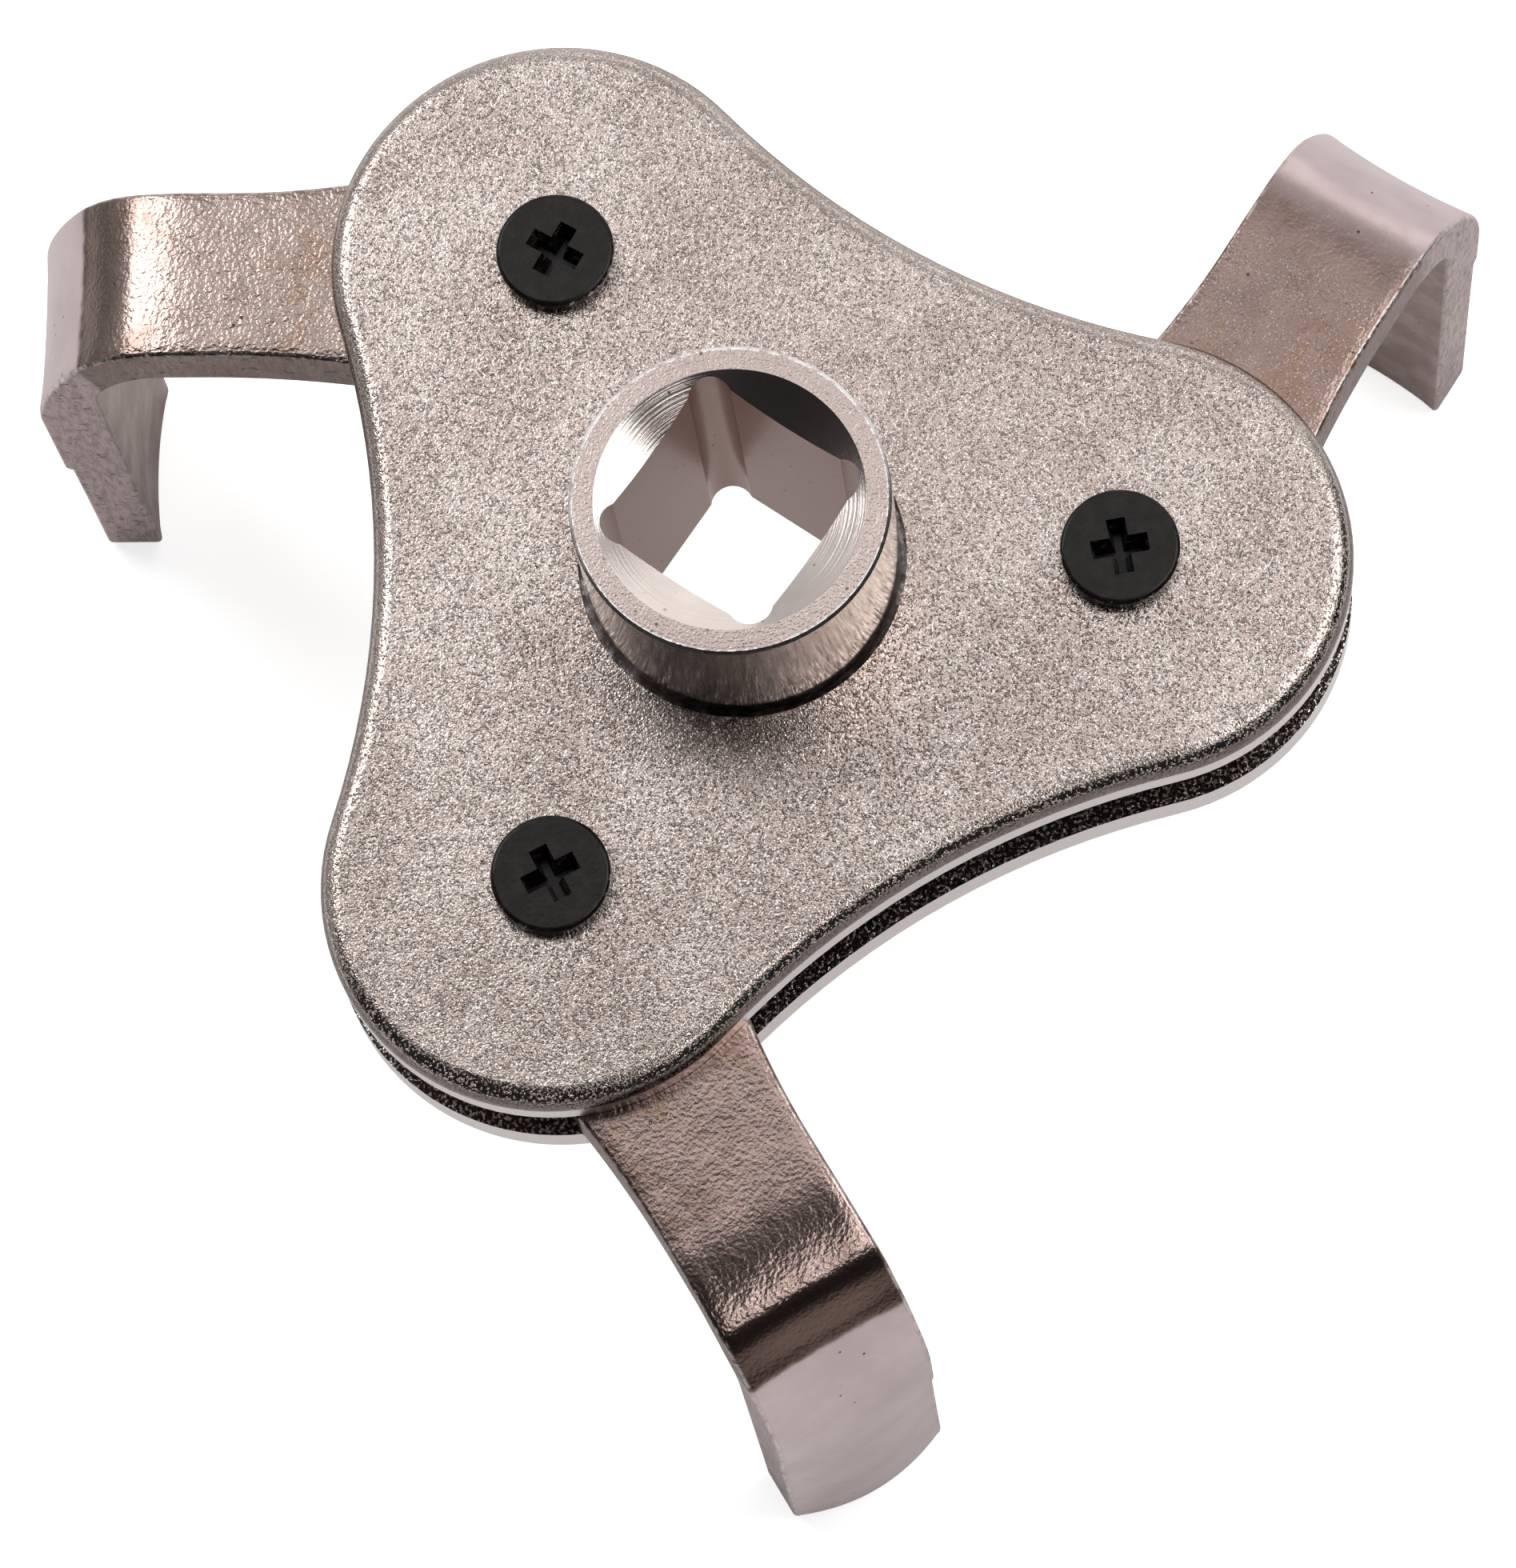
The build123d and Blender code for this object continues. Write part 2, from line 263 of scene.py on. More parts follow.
def jaw_material(name, arm_tone, finish_run, finish_blend, shade_band_depth, shade_line_depth, peel):
    """Plated bar: a pebbled, stained arm, a smooth leg beyond finish_run, and torn sides.

    finish_blend is half the length over which the two finishes meet, the next two depths say how dark
    the painted shade band above the leg and the painted shade line at its start are, and peel is how
    high the arm's orange peel stands.
    """
    g = Graph(name)
    run, side, inside = (g.carried(key) for key in ("run", "side", "inside"))
    leg = g.ramp(run, finish_run - finish_blend, finish_run + finish_blend)
    arm = g.without(leg)
    shade_band = g.times(g.ramp(run, finish_run - SHADE_BAND_START, finish_run - SHADE_BAND_FULL), arm)

    # The plating's own colour, on the arm and on the leg
    mottle = g.ramp(g.noise(260, 4.0, 0.6), 0.36, 0.72)
    tone = g.mix(mottle, arm_tone, tuple(0.80 * c for c in arm_tone))
    clouds = g.ramp(g.noise(150, 3.0, 0.6), 0.35, 0.7)
    smooth = g.mix(clouds, (0.70, 0.575, 0.575), (0.62, 0.50, 0.50))
    tone = g.mix(leg, tone, smooth)

    # Stains at the root and blots on the arm, then painted shade: a darker band above the leg and a
    # darker line at its start
    root = g.ramp(run, ROOT_STAIN_END, ROOT_STAIN_FULL)
    stain = g.times(root, g.ramp(g.noise(300, 5.0, 0.7), 0.50, 0.60), 0.6)
    tone = g.mix(stain, tone, (0.25, 0.15, 0.10))
    blot = g.times(g.ramp(g.noise(190, 4.0, 0.65), 0.56, 0.66), arm)
    tone = g.mix(g.times(blot, 0.45), tone, (0.20, 0.12, 0.085))
    tone = g.mix(g.times(shade_band, shade_band_depth), tone, (0.14, 0.088, 0.07))
    shade_line = g.times(
        g.ramp(run, finish_run + SHADE_LINE_PAST, finish_run),
        g.ramp(run, finish_run - SHADE_LINE_BEFORE, finish_run),
        g.ramp(g.noise(700, 3.0), 0.35, 0.6),
    )
    tone = g.mix(g.times(shade_line, shade_line_depth), tone, (0.14, 0.09, 0.07))

    # Bright specks painted on as glints, worn edges with painted glints, and dark pits
    bare = g.without(g.math("MAXIMUM", leg, shade_band))
    painted_glint = g.ramp(g.noise(6200, 1.0), 0.58, 0.68)
    painted_glint = g.times(painted_glint, g.ramp(g.noise(600, 2.0), 0.30, 0.60), bare)
    tone = g.mix(g.times(painted_glint, 0.45), tone, (0.60, 0.55, 0.52))
    # Worn edges: wear, with bright specks painted on along them as glints
    wear_and_glint = g.ramp(g.noise(900, 3.0), 0.40, 0.55)
    edge_wear_and_glint = g.times(g.ramp(side, 0.1, 0.4), g.ramp(side, 0.9, 0.6), wear_and_glint)
    tone = g.mix(g.times(edge_wear_and_glint, 0.6), tone, (0.95, 0.90, 0.87))
    pits = g.times(g.ramp(g.cells(820), 0.12, 0.06), g.ramp(g.noise(330, 2.0), 0.55, 0.65))
    tone = g.mix(g.times(pits, 0.85), tone, (0.10, 0.07, 0.06))

    # Torn, cracked sides, and an inside that is stained and also darkened as painted shade
    streak = g.noise(2200, 4.0, 0.65, g.stretched((1.0, 1.0, 0.30)))
    splits = g.noise(800, 4.0, 0.7, g.stretched((1.0, 1.0, 2.5)))
    crack = g.times(g.ramp(splits, 0.60, 0.66), side)
    tone = g.mix(g.times(side, 0.45), tone, (0.24, 0.16, 0.145))
    tone = g.mix(g.times(side, g.ramp(streak, 0.40, 0.62), 0.45), tone, (0.16, 0.10, 0.09))
    tone = g.mix(g.times(crack, 0.7), tone, (0.06, 0.04, 0.035))
    stain_and_shade = g.ramp(g.noise(240, 4.0, 0.6), 0.3, 0.7, 0.65, 0.92)
    tone = g.mix(g.times(inside, stain_and_shade), tone, (0.16, 0.085, 0.06))

    normal = g.bump(g.noise(3600, 1.0), g.blend(leg, peel, LEG_PEEL))
    coarse_peel = g.blend(leg, COARSE_PEEL_SHARE * peel, LEG_COARSE_PEEL)
    normal = g.bump(g.noise(1700, 1.0), coarse_peel, normal)
    normal = g.bump(g.noise(380, 2.0), 0.00005, normal)
    normal = g.bump(g.times(streak, side), 0.00015, normal)
    normal = g.bump(g.times(crack, -1.0), 0.0001, normal)
    normal = g.bump(g.times(pits, -1.0), 0.00008, normal)
    rough = g.blend(side, g.blend(leg, g.blend(shade_band, 0.19, 0.32), 0.38), 0.42)
    g.set(Base_Color=tone, Metallic=1.0, Roughness=rough, Normal=normal)
    return g.material


# On the hub: how far from the axis the socket's wall fades out, the rim's worn edge with painted glints
# fades in and the outside fades in, and how far below the top the painted shade round the foot fades in
WALL_FADE = (9.3 * MM, 8.9 * MM)
RIM_WEAR_AND_GLINT = (10.35 * MM, 10.5 * MM)
OUTSIDE_FADE = (10.0 * MM, 10.4 * MM)
FOOT_SHADE = (12.2 * MM, 12.8 * MM)


def hub_material():
    """Turned and plated steel: fine rings on its faces, darker walls in the socket, painted glints on
    the rim's worn edge and painted shade round the foot.
    """
    g = Graph("hub_plating")
    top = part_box("drive_hub")[1].z
    reach = g.radius()
    height = g.split(g.place())[2]
    facing = g.split(g.node("NewGeometry").outputs["Normal"])[2]
    upward = g.ramp(facing, 0.25, 0.5)
    flat = g.ramp(facing, 0.95, 0.99)
    wall = g.times(g.ramp(reach, *WALL_FADE), g.ramp(facing, 0.4, 0.2))
    rings = g.noise(7000, 2.0, 0.6, g.join(reach, 0.0, 0.0))

    broad = g.ramp(g.noise(200, 3.0, 0.6), 0.35, 0.68)
    tone = g.mix(broad, (0.74, 0.66, 0.62), (0.66, 0.58, 0.54))
    tone = g.mix(g.times(flat, 0.7), tone, (0.42, 0.34, 0.31))
    tone = g.mix(g.times(upward, g.ramp(rings, 0.58, 0.72), 0.3), tone, (0.35, 0.29, 0.26))
    tone = g.mix(g.times(wall, 0.85), tone, (0.43, 0.28, 0.24))
    # The rim's outer edge: wear, with bright specks painted on as glints
    wear_and_glint = g.times(g.ramp(reach, *RIM_WEAR_AND_GLINT), upward, g.ramp(g.noise(1600, 3.0), 0.42, 0.52))
    tone = g.mix(g.times(wear_and_glint, 0.8), tone, (0.98, 0.96, 0.95))
    mark = g.times(g.ramp(g.cells(900), 0.14, 0.07), g.ramp(g.noise(300, 2.0), 0.45, 0.6))
    tone = g.mix(g.times(mark, 0.9), tone, (0.08, 0.055, 0.05))
    # Painted shade round the foot, where the hub meets the plate
    foot_shade = g.times(
        g.ramp(height, top - FOOT_SHADE[0], top - FOOT_SHADE[1]),
        g.ramp(reach, *OUTSIDE_FADE),
        g.ramp(g.noise(900, 3.0), 0.30, 0.55),
    )
    tone = g.mix(g.times(foot_shade, 0.8), tone, (0.05, 0.035, 0.03))

    normal = g.bump(g.times(rings, upward), 0.000014)
    normal = g.bump(g.noise(5200, 1.0), g.blend(flat, 0.000004, 0.00003), normal)
    rough = g.blend(wall, g.blend(flat, g.blend(upward, 0.12, 0.18), 0.26), 0.32)
    g.set(Base_Color=tone, Metallic=1.0, Roughness=rough, Normal=normal)
    return g.material


def post_material():
    """Turned steel, with fine rings round it."""
    g = Graph("post_steel")
    rings = g.noise(5000, 2.0, 0.6, g.stretched((0.05, 0.05, 1.0)))
    broad = g.ramp(g.noise(400, 3.0), 0.35, 0.7)
    tone = g.mix(broad, (0.55, 0.50, 0.47), (0.40, 0.34, 0.31))
    g.set(Base_Color=tone, Metallic=1.0, Roughness=0.34, Normal=g.bump(rings, 0.00003))
    return g.material


# Down from a screw's top: where its worn part fades in, and where it fades out again
WEAR_START = (0.05 * MM, 0.20 * MM)
WEAR_END = (1.0 * MM, 1.3 * MM)


def screw_material():
    """Black oxide, satin, worn to bare steel in and around the driver's recess."""
    g = Graph("screw_black")
    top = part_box("pivot_screw_1")[1].z
    height = g.split(g.place())[2]
    below_top = g.ramp(height, top - WEAR_START[0], top - WEAR_START[1])
    above_floor = g.ramp(height, top - WEAR_END[1], top - WEAR_END[0])
    bare = g.times(below_top, above_floor, g.ramp(g.noise(1500, 4.0, 0.65), 0.57, 0.63))
    broad = g.ramp(g.noise(900, 3.0), 0.4, 0.7)
    tone = g.mix(broad, (0.007, 0.005, 0.004), (0.016, 0.011, 0.010))
    tone = g.mix(bare, tone, (0.62, 0.58, 0.55))
    normal = g.bump(g.noise(2600, 3.0, 0.6), 0.00002)
    g.set(Base_Color=tone, Metallic=bare, Roughness=0.27, Normal=normal, Specular_IOR_Level=0.24)
    return g.material


# ---------------------------------------------------------------- jaws
# The bars' shape in millimetres: reach from the pivot, height from the arm's top, half widths,
# radii, and how far its faces are crowned or hollowed. Slopes are angles down from level.
ARM_START = 14.0
ARM_WAIST = 23.0
ROOT_HALF_WIDTH = 6.7
WAIST_HALF_WIDTH = 6.0
LEG_HALF_WIDTH = 6.1
BEND_START = 25.5
EASY_RADIUS = 22.0
EASY_SLOPE = math.radians(16.0)
TIGHT_RADIUS = 5.0
BEND_SLOPE = math.radians(42.0)
LEG_OUTSIDE = 38.5
LEG_STRAIGHT_TOP = -14.5
LEG_INSIDE = 33.2
INNER_RADIUS = 5.0
UPPER_CROWN = 0.7
LOWER_CROWN = 1.2
LEG_HOLLOW = 0.5
TIP_ROUND = 0.8
BEND_HOLLOW = 0.35
OUTER_EDGE = 0.4
INNER_EDGE = 0.3
HEAD_OVERLAP = 0.3
# The leg's outside: how far before the crease its own shape starts, the heights between which
# the bend's hollow turns into the leg's crown, and half the height that the step takes
LEG_BLEND = 5.0
CROWN_START = -11.0
CROWN_FULL = -21.0
STEP_BLEND = 0.25
# How far up from the tip the hollow on the leg's inside fades out, and how much of its round the
# tip gets
HOLLOW_TOP = 30.0
TIP_SHARE = 0.6
# The hammered waviness: each wave's length and depth, and its share on the arm and on the leg
WAVES = ((5.0, 0.035), (1.4, 0.008))
ARM_WAVE_SHARE = 0.5
LEG_WAVE_SHARE = 0.4
# The mesh: steps along the arm, its two bends, the slope, the leg's curve and the leg, and the
# shares of a quarter turn at which the same steps divide the inner corner
ARM_STEPS = 30
EASY_STEPS = 14
TIGHT_STEPS = 10
SLOPE_STEPS = 4
CURVE_STEPS = 16
LEG_STEPS = 90
INNER_SHARES = (1.0, 0.75, 0.45, 0.35, 0.0)
# Across the bar: steps over half its outside, round each outer and inner edge, and over its inside
OUTSIDE_STEPS = 8
OUTER_EDGE_STEPS = 4
INNER_EDGE_STEPS = 3
INSIDE_STEPS = 6
# How far past its rounded edges each side face's two loops lie
OUTER_SIDE_INSET = 0.5
INNER_SIDE_INSET = 0.4


def turn_points(centre, radius, start, end, count):
    """Points on an arc, from one angle to the other in radians, without the first."""
    angles = [start + (end - start) * i / count for i in range(1, count + 1)]
    return [(centre[0] + radius * math.cos(a), centre[1] + radius * math.sin(a)) for a in angles]


def line_points(start, end, count):
    """Points on a line, without the first."""
    return [
        tuple(a + (b - a) * i / count for a, b in zip(start, end)) for i in range(1, count + 1)
    ]


def slope_run(reach):
    """How far along the bar's outside this reach on its bend's slope is."""
    tight = TIGHT_RADIUS * (math.sin(BEND_SLOPE) - math.sin(EASY_SLOPE))
    slope_start = BEND_START + EASY_RADIUS * math.sin(EASY_SLOPE) + tight
    arcs = EASY_RADIUS * EASY_SLOPE + TIGHT_RADIUS * (BEND_SLOPE - EASY_SLOPE)
    return BEND_START + arcs + (reach - slope_start) / math.cos(BEND_SLOPE)


def outer_profile(tip, crease_reach):
    """The bar's outside, from the arm's start over the bend and crease to the tip."""
    upward = math.pi / 2
    start = (ARM_START, 0.0)
    points = [start] + line_points(start, (BEND_START, 0.0), ARM_STEPS)
    easy_end, tight_end = upward - EASY_SLOPE, upward - BEND_SLOPE
    points += turn_points((BEND_START, -EASY_RADIUS), EASY_RADIUS, upward, easy_end, EASY_STEPS)
    reach, height = points[-1]
    middle = (
        reach - TIGHT_RADIUS * math.sin(EASY_SLOPE),
        height - TIGHT_RADIUS * math.cos(EASY_SLOPE),
    )
    points += turn_points(middle, TIGHT_RADIUS, easy_end, tight_end, TIGHT_STEPS)
    slope_end = points[-1]
    fall = (crease_reach - slope_end[0]) * math.tan(BEND_SLOPE)
    crease = (crease_reach, slope_end[1] - fall)
    points += line_points(slope_end, crease, SLOPE_STEPS)
    rise = crease[1] - LEG_STRAIGHT_TOP
    run = LEG_OUTSIDE - crease_reach
    radius = (rise**2 + run**2) / (2 * run)
    turn, centre = math.asin(rise / radius), (LEG_OUTSIDE - radius, LEG_STRAIGHT_TOP)
    points += turn_points(centre, radius, turn, 0.0, CURVE_STEPS)
    return points + line_points((LEG_OUTSIDE, LEG_STRAIGHT_TOP), (LEG_OUTSIDE, tip), LEG_STEPS)


def inner_profile(tip, thickness):
    """The bar's inside, with a point for each one of the outer profile."""
    corner = (LEG_INSIDE - INNER_RADIUS, -thickness - INNER_RADIUS)
    start = (ARM_START, -thickness)
    points = [start] + line_points(start, (corner[0], -thickness), ARM_STEPS)
    angles = [math.pi / 2 * share for share in INNER_SHARES]
    steps = (EASY_STEPS, TIGHT_STEPS, SLOPE_STEPS, CURVE_STEPS)
    for first, last, count in zip(angles, angles[1:], steps):
        points += turn_points(corner, INNER_RADIUS, first, last, count)
    return points + line_points((LEG_INSIDE, corner[1]), (LEG_INSIDE, tip), LEG_STEPS)


def half_width(reach):
    """The bar's half width: drawn in towards the arm's waist, then the leg's own."""
    if reach < ARM_WAIST:
        share = (ARM_WAIST - reach) / (ARM_WAIST - ARM_START)
        return WAIST_HALF_WIDTH + (ROOT_HALF_WIDTH - WAIST_HALF_WIDTH) * share**2
    share = min(1.0, (reach - ARM_WAIST) / (LEG_INSIDE - ARM_WAIST))
    return WAIST_HALF_WIDTH + (LEG_HALF_WIDTH - WAIST_HALF_WIDTH) * share**2


def smooth_step(value, low, high):
    """0 where value is low and 1 where it is high, with an easy start and end."""
    share = min(1.0, max(0.0, (value - low) / (high - low)))
    return share * share * (3 - 2 * share)


def section(width, rim, crown, hollow, shrink):
    """One loop round the bar: (across, depth, from outside?, side, inside) at each point."""
    loop = []
    flat = width - OUTER_EDGE - shrink
    for i in range(-OUTSIDE_STEPS, OUTSIDE_STEPS + 1):
        across = flat * i / OUTSIDE_STEPS
        depth = rim - crown * (1 - (across / flat) ** 2) + shrink
        loop.append((across, depth, True, 0.0, 0.0))
    corner = []
    for i in range(1, OUTER_EDGE_STEPS + 1):
        angle = math.pi / 2 * i / OUTER_EDGE_STEPS
        out = flat + OUTER_EDGE * math.sin(angle)
        depth = rim + shrink + OUTER_EDGE * (1 - math.cos(angle))
        corner.append((out, depth, True, i / OUTER_EDGE_STEPS, 0.0))
    loop += corner
    side = width - shrink
    outer_side = (side, rim + shrink + OUTER_EDGE + OUTER_SIDE_INSET, True, 1.0, 0.0)
    inner_side = (side, shrink + INNER_EDGE + INNER_SIDE_INSET, False, 1.0, 0.0)
    loop += [outer_side, inner_side]
    inner = []
    for i in range(INNER_EDGE_STEPS + 1):
        turned = i / INNER_EDGE_STEPS
        angle = math.pi / 2 * (1 - turned)
        out = side - INNER_EDGE * (1 - math.sin(angle))
        depth = shrink + INNER_EDGE * (1 - math.cos(angle))
        inner.append((out, depth, False, 1 - turned, turned))
    loop += inner
    for i in range(INSIDE_STEPS - 1, -INSIDE_STEPS, -1):
        across = (side - INNER_EDGE) * i / INSIDE_STEPS
        depth = hollow * (1 - (across / width) ** 2) + shrink
        loop.append((across, depth, False, 0.0, 1.0))
    mirrored = [*reversed(inner), inner_side, outer_side, *reversed(corner)]
    return loop + [(-across, *rest) for across, *rest in mirrored]


def jaw_piece(number, crease_reach, step_height, material):
    """A jaw: the CAD's toothed head, and a bar with rounded edges, a crease and a step.

    crease_reach is the crease's distance from the pivot, and step_height the step's from the tip.
    """
    node = nodes[f"jaw_{number}"]
    low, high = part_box(f"jaw_{number}")
    joint = next(j for j in frame["record"]["behaviour"]["joints"] if j["name"] == f"jaw_{number}_swing")
    pivot = Vector((*joint["pos_m"][:2], 0.0))
    corners = [v.co.copy() for v in node.data.vertices]
    tips = [c for c in corners if c.z < low.z + TIP_ROUND * MM]
    along = sum(tips, Vector()) / len(tips) - pivot
    along = Vector((along.x, along.y, 0)).normalized()
    across = UP.cross(along)
    gap_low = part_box("bottom_plate")[1].z
    thickness = 2 * (high.z - (gap_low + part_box("top_plate")[0].z) / 2) / MM
    tip = (low.z - high.z) / MM
    outside = outer_profile(tip, crease_reach)
    crease_run = slope_run(crease_reach)
    inside = inner_profile(tip, thickness)

    work = bmesh.new()
    work.from_mesh(node.data)
    cut = pivot + along * (ARM_START + HEAD_OVERLAP) * MM
    everything = work.verts[:] + work.edges[:] + work.faces[:]
    bmesh.ops.bisect_plane(work, geom=everything, plane_co=cut, plane_no=along, clear_outer=True)
    open_edges = [e for e in work.edges if e.is_boundary]
    bmesh.ops.edgenet_fill(work, edges=open_edges)
    keys = {name: work.verts.layers.float.new(name) for name in ("run", "side", "inside")}
    for face in work.faces:
        face.smooth = False

    rings = []
    run = ARM_START
    for station, (outer, inner) in enumerate(zip(outside, inside)):
        if station:
            run += math.dist(outer, outside[station - 1])
        height = outer[1] - tip
        leg = smooth_step(run, crease_run - LEG_BLEND, crease_run)
        below = smooth_step(height, step_height + STEP_BLEND, step_height - STEP_BLEND)
        rim = leg * (UPPER_CROWN + (LOWER_CROWN - UPPER_CROWN) * below)
        rounding = smooth_step(outer[1], CROWN_START, CROWN_FULL)
        crown = rounding * rim - (1 - rounding) * leg * BEND_HOLLOW
        hollow = LEG_HOLLOW * smooth_step(height, HOLLOW_TOP, 0.0)
        into_tip = max(0.0, TIP_ROUND - height)
        shrink = TIP_ROUND - math.sqrt(max(0.0, TIP_ROUND**2 - into_tip**2))
        shrink = min(shrink, TIP_SHARE * TIP_ROUND)
        through = Vector((inner[0] - outer[0], inner[1] - outer[1])).normalized()
        sway = along * (LEG_WAVE_SHARE if leg else 0.0) - UP * ARM_WAVE_SHARE * (1 - leg)
        ring = []
        for sideways, depth, from_outside, side, back in section(
            half_width(outer[0]), rim, crown, hollow, shrink
        ):
            foot = outer if from_outside else inner
            sign = 1 if from_outside else -1
            reach = foot[0] + sign * through[0] * depth
            rise = foot[1] + sign * through[1] * depth
            point = pivot + along * reach * MM + across * sideways * MM
            point.z = high.z + rise * MM
            swell = sum(noise.noise(point / (span * MM)) * deep for span, deep in WAVES)
            point += sway * swell * MM
            vertex = work.verts.new(point)
            for key, value in (("run", run), ("side", side), ("inside", back)):
                vertex[keys[key]] = value
            ring.append(vertex)
        rings.append(ring)
    for before, after in zip(rings, rings[1:]):
        for i in range(len(before)):
            j = (i + 1) % len(before)
            work.faces.new((before[i], before[j], after[j], after[i])).smooth = True
    work.faces.new(list(reversed(rings[0])))
    work.faces.new(rings[-1])
    bmesh.ops.recalc_face_normals(work, faces=work.faces[:])
    mesh = bpy.data.meshes.new(f"jaw_{number}_bar")
    work.to_mesh(mesh)
    work.free()
    piece = bpy.data.objects.new(f"jaw_{number}_bar", mesh)
    bpy.context.scene.collection.objects.link(piece)
    mesh.materials.append(material)
    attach(piece, ("first_jaw", "second_jaw", "third_jaw")[number - 1])
    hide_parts(f"jaw_{number}")


# Each jaw's crease_reach and step_height, then its material's arm_tone, finish_run, finish_blend, the
# depths of its painted shade band and painted shade line, and peel
JAWS = (
    (34.0, 17.2, (0.36, 0.285, 0.255), slope_run(34.0), 0.3, 0.45, 0.6, 0.000042),
    (35.9, 21.3, (0.38, 0.275, 0.245), slope_run(35.9), 0.3, 0.8, 0.6, 0.000026),
    (34.0, 22.5, (0.28, 0.20, 0.178), 29.6, 2.2, 0.0, 0.1, 0.000026),
)
for number, (crease_reach, step_height, *finish) in enumerate(JAWS, 1):
    jaw_piece(number, crease_reach, step_height, jaw_material(f"jaw_{number}_plating", *finish))

materials = {
    "plate_plating": plate_material(),
    "hub_plating": hub_material(),
    "post_steel": post_material(),
    "screw_black": screw_material(),
}
for subpart in frame["record"]["subparts"]:
    if subpart["material_slot"] in materials:
        piece = nodes[subpart["node"]]
        piece.data.materials.clear()
        piece.data.materials.append(materials[subpart["material_slot"]])


# ---------------------------------------------------------------- floor, lights, camera
# The floor lies this far under the part, so that the jaws' tips do not share its plane
FLOOR_GAP = 0.05 * MM
# Its width in metres
FLOOR_SIZE = 3.0
# How bright the floor glows on the part, and to the camera
FLOOR_GLOW = (0.15, 0.72)


def floor():
    """A pale, evenly bright ground under the part."""
    bpy.ops.mesh.primitive_plane_add(size=FLOOR_SIZE, location=(0, 0, cad_box[0].z - FLOOR_GAP))
    ground = bpy.context.object
    ground.name = "floor"
    g = Graph("pale_floor")
    g.set(Base_Color=(0.9, 0.9, 0.9, 1), Roughness=0.9)
    seen = g.node("LightPath").outputs["Is Camera Ray"]
    g.set(Emission_Color=(1, 1, 1, 1), Emission_Strength=g.blend(seen, *FLOOR_GLOW))
    ground.data.materials.append(g.material)


# The camera: angles in degrees, its distance from the upper plate's top and its shift to the
# right and up in metres, and its lens and sensor in millimetres
CAMERA_HEADING = -137.85
CAMERA_TILT = 16.44
CAMERA_ROLL = -12.71
CAMERA_DISTANCE = 0.5
CAMERA_RIGHT = 0.00106
CAMERA_UP = -0.01518
CAMERA_LENS = 170.00816
CAMERA_SENSOR = 36.0

# How far the softboxes stand from the part's origin, in metres
LIGHT_DISTANCE = 0.9
# Each one's heading and elevation in degrees, its width and height in metres, and its radiance
SOFTBOXES = {
    "key": (92, 59, (0.54, 0.58), 2.8),
    "far_strip": (150, 24, (0.9, 0.44), 0.65),
    "left_card": (-141, 52, (0.36, 0.4), 4.2),
    "back_card": (180, 72, (0.36, 0.28), 0.85),
    "top_card": (30, 68, (0.20, 0.15), 2.4),
    "left_low_card": (-112, 22, (0.5, 0.34), 0.5),
}

# The room: where its bright side lies in degrees, how directly a ray has to face that side for
# the brightness to start and be full, how bright it is there, and how bright the backdrop is
BRIGHT_SIDE = (172, 25)
BRIGHT_REACH = (0.35, 0.85)
ROOM_BRIGHTNESS = (0.02, 0.6)
BACKDROP = 0.85


def direction(heading, elevation):
    """The unit vector at this heading, counted from the camera's own, and elevation."""
    turn, lift = math.radians(CAMERA_HEADING + heading), math.radians(elevation)
    return Vector(
        (math.cos(turn) * math.cos(lift), math.sin(turn) * math.cos(lift), math.sin(lift))
    )


def softbox(name, heading, elevation, size, radiance):
    """A rectangular soft light facing the part, this bright whatever its size."""
    data = bpy.data.lights.new(name, "AREA")
    data.shape = "RECTANGLE"
    data.size, data.size_y = size
    data.energy = radiance * math.pi * size[0] * size[1]
    light = bpy.data.objects.new(name, data)
    bpy.context.scene.collection.objects.link(light)
    toward = direction(heading, elevation)
    light.location = toward * LIGHT_DISTANCE
    light.rotation_mode = "QUATERNION"
    light.rotation_quaternion = toward.to_track_quat("Z", "Y")
    light.visible_camera = False


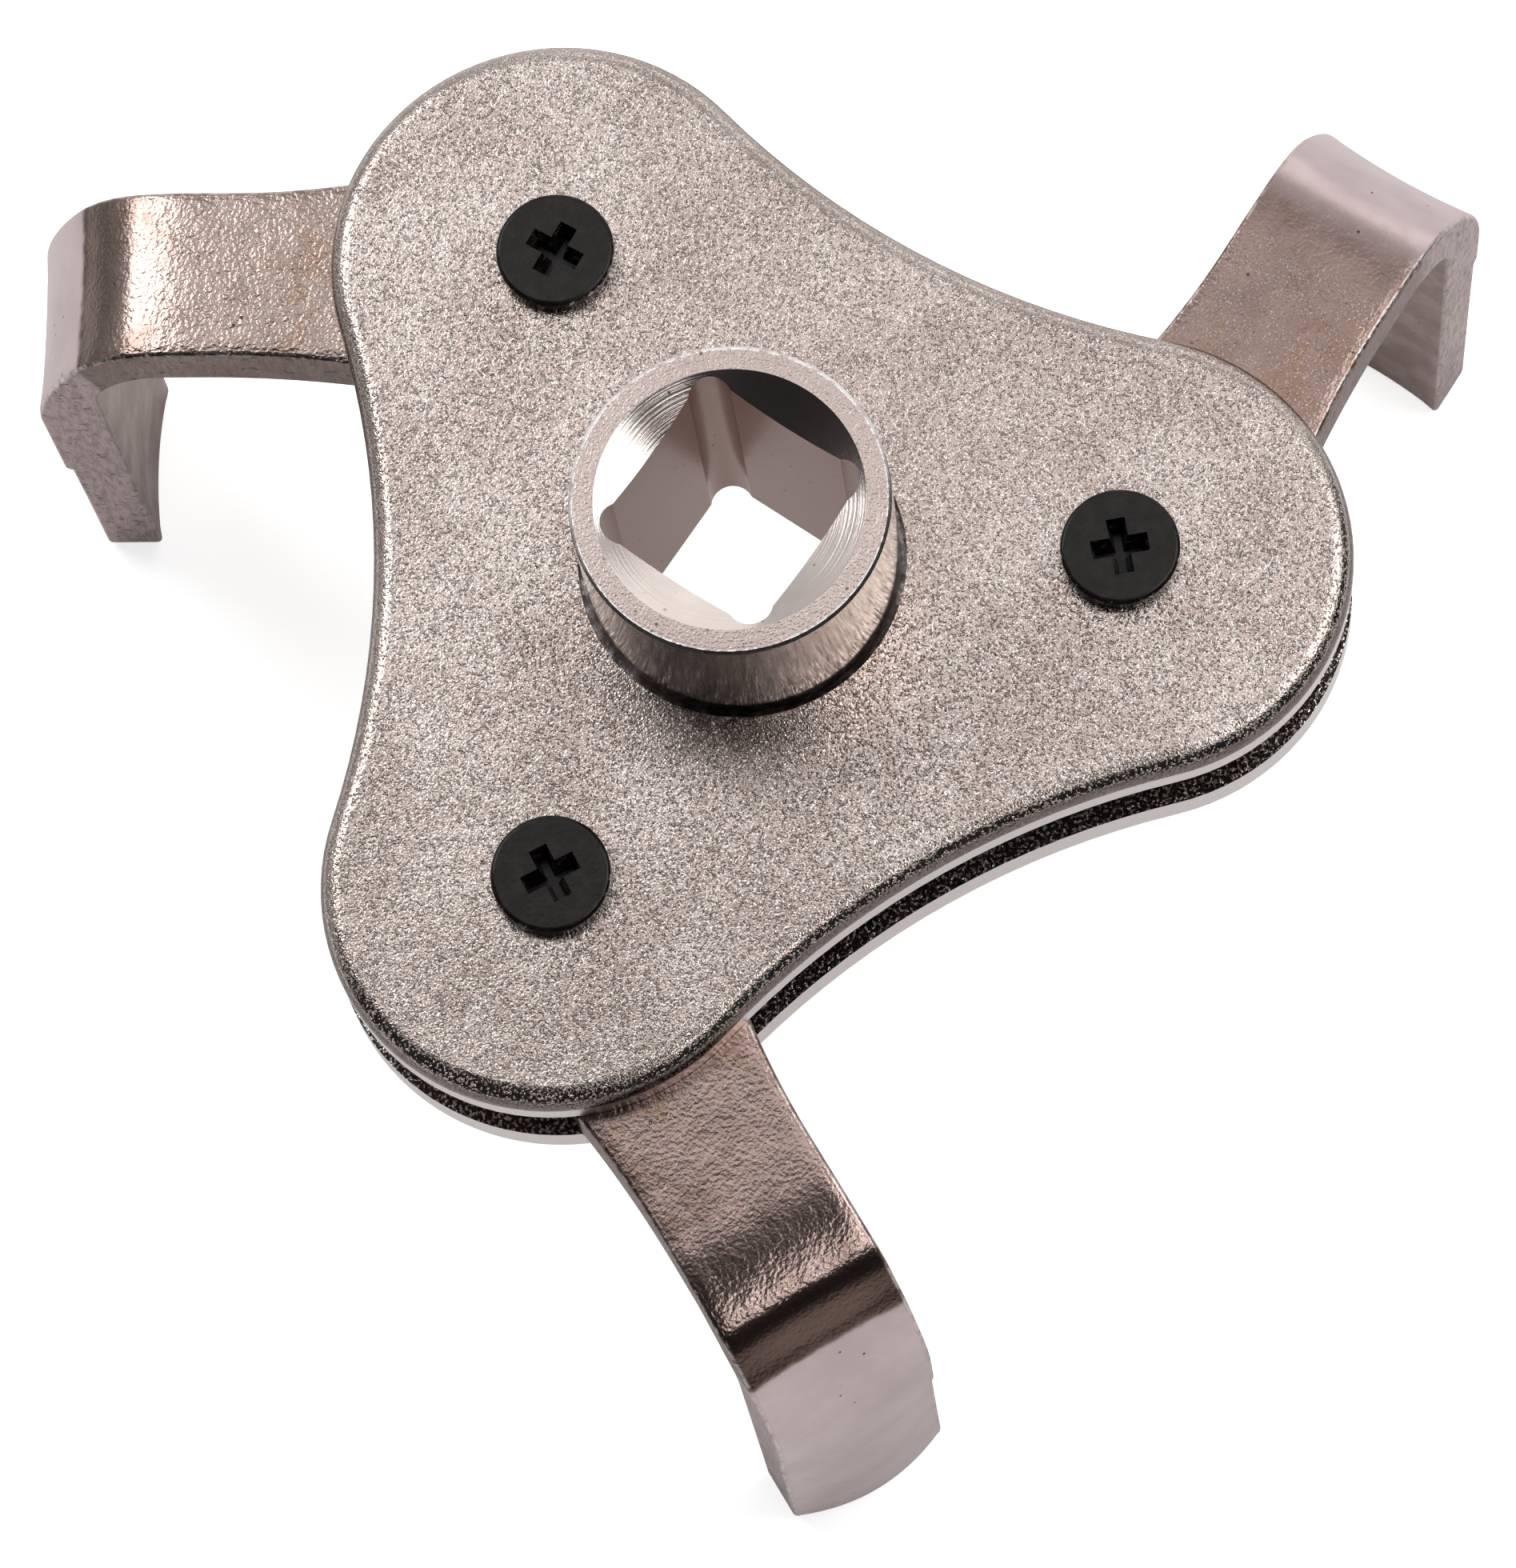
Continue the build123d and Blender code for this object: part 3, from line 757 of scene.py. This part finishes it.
def world():
    """A dim room, brighter on the side away from the camera, and a pale backdrop behind the part."""
    made = bpy.data.worlds.new("studio")
    bpy.context.scene.world = made
    made.use_nodes = True
    tree = made.node_tree
    where = tree.nodes.new("ShaderNodeTexCoord")
    facing = tree.nodes.new("ShaderNodeVectorMath")
    facing.operation = "DOT_PRODUCT"
    facing.inputs[1].default_value = direction(*BRIGHT_SIDE)
    tone = tree.nodes.new("ShaderNodeMapRange")
    tone.interpolation_type = "SMOOTHSTEP"
    keys = ("From Min", "From Max", "To Min", "To Max")
    for key, value in zip(keys, BRIGHT_REACH + ROOM_BRIGHTNESS):
        tone.inputs[key].default_value = value
    tree.links.new(where.outputs["Generated"], facing.inputs[0])
    tree.links.new(facing.outputs["Value"], tone.inputs["Value"])
    seen = tree.nodes.new("ShaderNodeLightPath")
    backdrop = tree.nodes.new("ShaderNodeMix")
    backdrop.inputs["B"].default_value = BACKDROP
    tree.links.new(seen.outputs["Is Camera Ray"], backdrop.inputs["Factor"])
    tree.links.new(tone.outputs["Result"], backdrop.inputs["A"])
    tree.links.new(backdrop.outputs["Result"], tree.nodes["Background"].inputs["Color"])


def camera():
    """The photograph's viewpoint: half a metre off, nearly overhead, a long lens."""
    tilt, heading, roll = map(math.radians, (CAMERA_TILT, CAMERA_HEADING, CAMERA_ROLL))
    target = Vector((0, 0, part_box("top_plate")[1].z))
    back = Vector(
        (math.sin(tilt) * math.cos(heading), math.sin(tilt) * math.sin(heading), math.cos(tilt))
    )
    level_up = Vector(
        (-math.cos(tilt) * math.cos(heading), -math.cos(tilt) * math.sin(heading), math.sin(tilt))
    )
    level_right = level_up.cross(back)
    right = math.cos(roll) * level_right + math.sin(roll) * level_up
    up = -math.sin(roll) * level_right + math.cos(roll) * level_up
    data = bpy.data.cameras.new("camera")
    data.sensor_width = CAMERA_SENSOR
    data.lens = CAMERA_LENS
    made = bpy.data.objects.new("camera", data)
    bpy.context.scene.collection.objects.link(made)
    place = target + back * CAMERA_DISTANCE + right * CAMERA_RIGHT + up * CAMERA_UP
    made.matrix_world = Matrix.Translation(place) @ Matrix((right, up, back)).transposed().to_4x4()
    bpy.context.scene.camera = made


floor()
world()
for light_name, setting in SOFTBOXES.items():
    softbox(light_name, *setting)
camera()
bpy.context.scene.view_settings.view_transform = "Standard"
